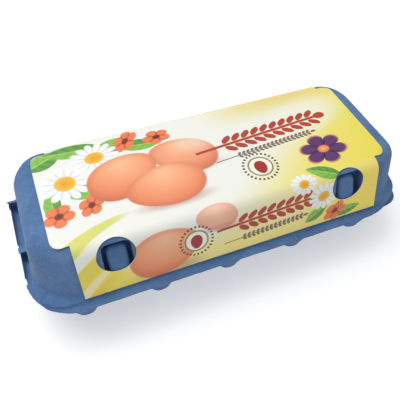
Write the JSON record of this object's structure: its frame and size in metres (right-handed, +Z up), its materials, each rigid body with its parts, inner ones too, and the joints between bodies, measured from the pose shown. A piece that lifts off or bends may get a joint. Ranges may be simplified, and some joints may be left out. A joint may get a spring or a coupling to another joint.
{
  "type": "egg carton",
  "caption": "Shut moulded-pulp egg carton with egg-cup feet, a flat rim, two latch tabs and a printed paper label wrapped over its lid.",
  "frame": {"origin": "on the surface that the cups stand on, under the middle of the rim", "axes": "+X along the carton, +Y from the latches at the front to the hinge at the back, +Z up"},
  "size_m": [0.2574, 0.107, 0.069],
  "materials": {
    "pulp": "matte blue moulded paper pulp",
    "label_paper": "semi-gloss printed paper"
  },
  "bodies": {
    "root": {"tray": "pulp", "lid": "pulp", "latch_tab_left": "pulp", "latch_tab_right": "pulp", "label": "label_paper"}
  },
  "joints": []
}
